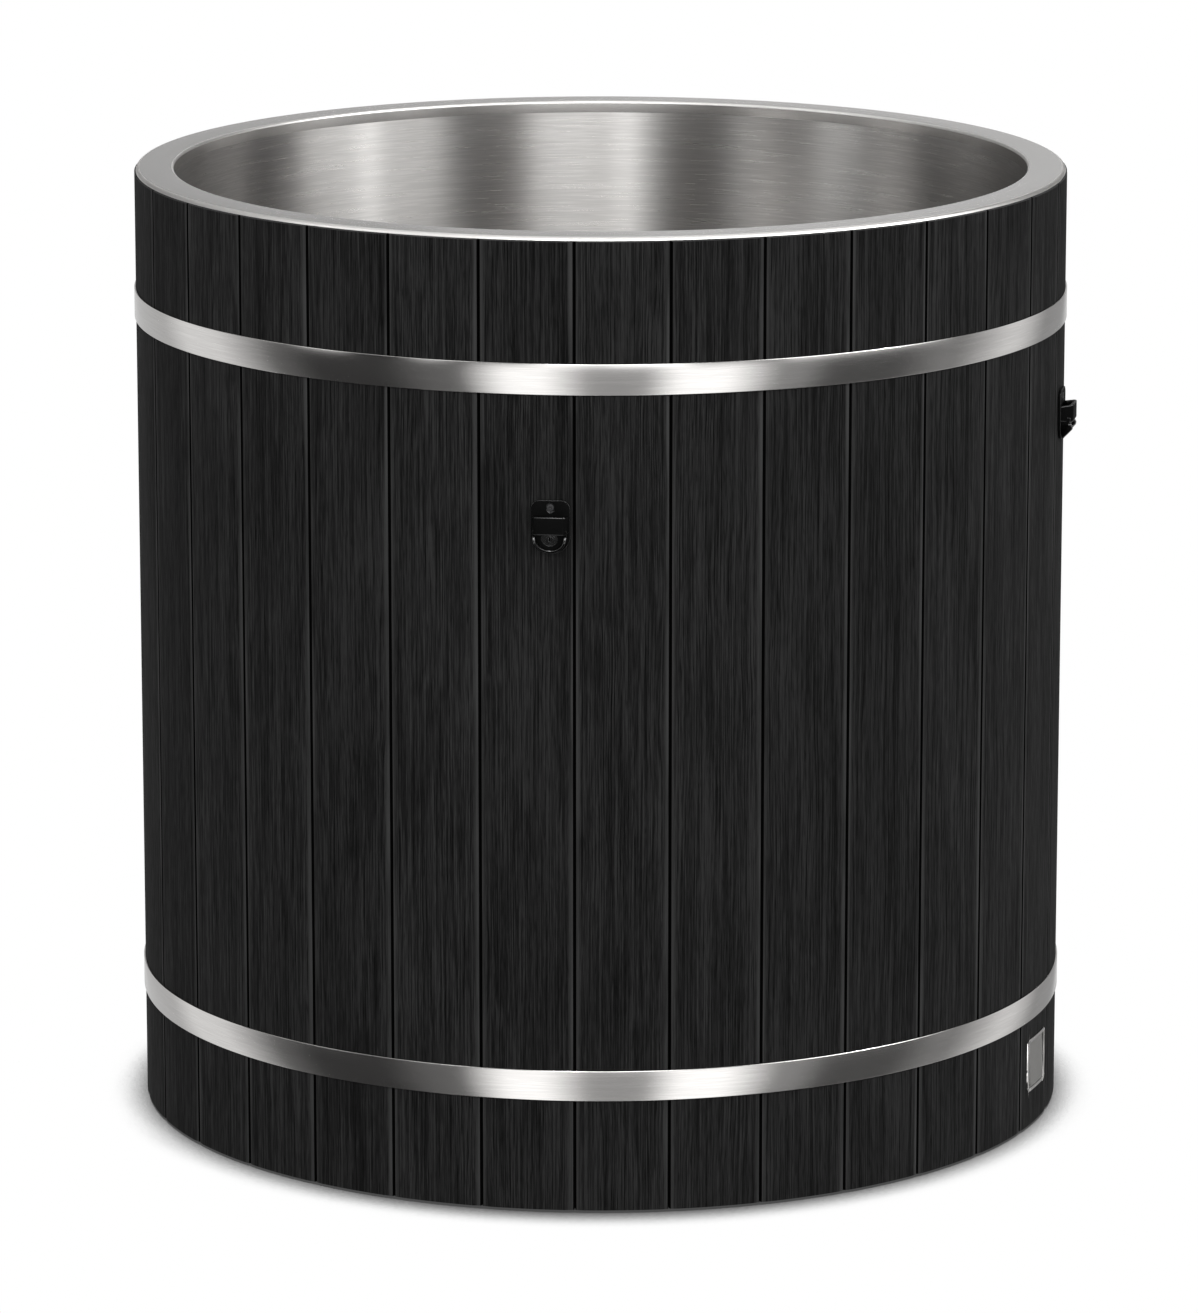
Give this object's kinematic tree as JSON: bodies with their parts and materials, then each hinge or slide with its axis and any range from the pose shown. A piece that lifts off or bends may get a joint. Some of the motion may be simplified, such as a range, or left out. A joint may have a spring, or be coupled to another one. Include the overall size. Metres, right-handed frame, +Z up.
{
  "type": "cold plunge tub",
  "caption": "Round barrel tub of upright tongued wooden staves held by steel hoops, with an insulated steel liner, cover latches with key locks and a ball valve drain.",
  "frame": {"origin": "on the floor at the tub's axis, in the underside of the ground board", "axes": "+Z up along the tub's axis, -Y through the front latch, +X to the right of someone facing it, +Y to the drain"},
  "size_m": [1.084, 1.1971, 1.09],
  "materials": {
    "stave_wood": "charred and oiled, almost black",
    "rim_steel": "satin stainless steel",
    "liner_steel": "stainless steel, brushed round the tub",
    "insulation_foam": "closed cell foam",
    "base_timber": "plain softwood and plywood",
    "hoop_steel": "satin stainless steel",
    "fixing_steel": "bright stainless steel",
    "latch_plastic": "gloss black moulding",
    "lock_plastic": "gloss black moulding",
    "badge_steel": "brushed stainless steel, bare",
    "drain_steel": "satin stainless steel",
    "pipe_plastic": "rigid drain plastic",
    "valve_brass": "nickel plated brass, satin",
    "ball_chrome": "chromed ball",
    "lever_steel": "steel with a black dipped grip"
  },
  "bodies": {
    "tub": {"stave_01": "stave_wood", "stave_02": "stave_wood", "stave_03": "stave_wood", "stave_04": "stave_wood", "stave_05": "stave_wood", "stave_06": "stave_wood", "stave_07": "stave_wood", "stave_08": "stave_wood", "stave_09": "stave_wood", "stave_10": "stave_wood", "stave_11": "stave_wood", "stave_12": "stave_wood", "stave_13": "stave_wood", "stave_14": "stave_wood", "stave_15": "stave_wood", "stave_16": "stave_wood", "stave_17": "stave_wood", "stave_18": "stave_wood", "stave_19": "stave_wood", "stave_20": "stave_wood", "stave_21": "stave_wood", "stave_22": "stave_wood", "stave_23": "stave_wood", "stave_24": "stave_wood", "stave_25": "stave_wood", "stave_26": "stave_wood", "stave_27": "stave_wood", "stave_28": "stave_wood", "stave_29": "stave_wood", "stave_30": "stave_wood", "stave_31": "stave_wood", "stave_32": "stave_wood", "rim_ring": "rim_steel", "liner_wall": "liner_steel", "liner_floor": "liner_steel", "wall_insulation": "insulation_foam", "floor_insulation": "insulation_foam", "base_board": "base_timber", "base_joists": "base_timber", "base_deck": "base_timber", "hoop_upper": "hoop_steel", "hoop_lower": "hoop_steel", "hoop_bolts": "fixing_steel", "front_latch_base": "latch_plastic", "side_latch_base": "latch_plastic", "latch_screws": "fixing_steel", "badge_plate": "badge_steel", "drain_waste": "drain_steel", "drain_strainer": "drain_steel", "drain_locknut": "pipe_plastic", "drain_elbow": "pipe_plastic", "drain_pipe": "pipe_plastic", "valve_body": "valve_brass", "valve_outlet": "valve_brass"},
    "front_lock": {"front_lock_plug": "lock_plastic"},
    "side_lock": {"side_lock_plug": "lock_plastic"},
    "drain_handle": {"valve_stem": "valve_brass", "valve_ball": "ball_chrome", "valve_lever": "lever_steel", "lever_nut": "fixing_steel"}
  },
  "joints": [
    {"name": "front_lock_turn", "type": "hinge", "parent": "tub", "child": "front_lock", "pos_m": [0, -0.54524, 0.762], "axis": [0, -0.9397, -0.342], "range_deg": [0, 90]},
    {"name": "side_lock_turn", "type": "hinge", "parent": "tub", "child": "side_lock", "pos_m": [0.54316, -0.04752, 0.805], "axis": [0.9361, -0.0819, -0.342], "range_deg": [0, 90]},
    {"name": "drain_valve_turn", "type": "hinge", "parent": "tub", "child": "drain_handle", "pos_m": [0, 0.591, 0.04], "axis": [0, 0, 1], "range_deg": [0, 90]}
  ]
}
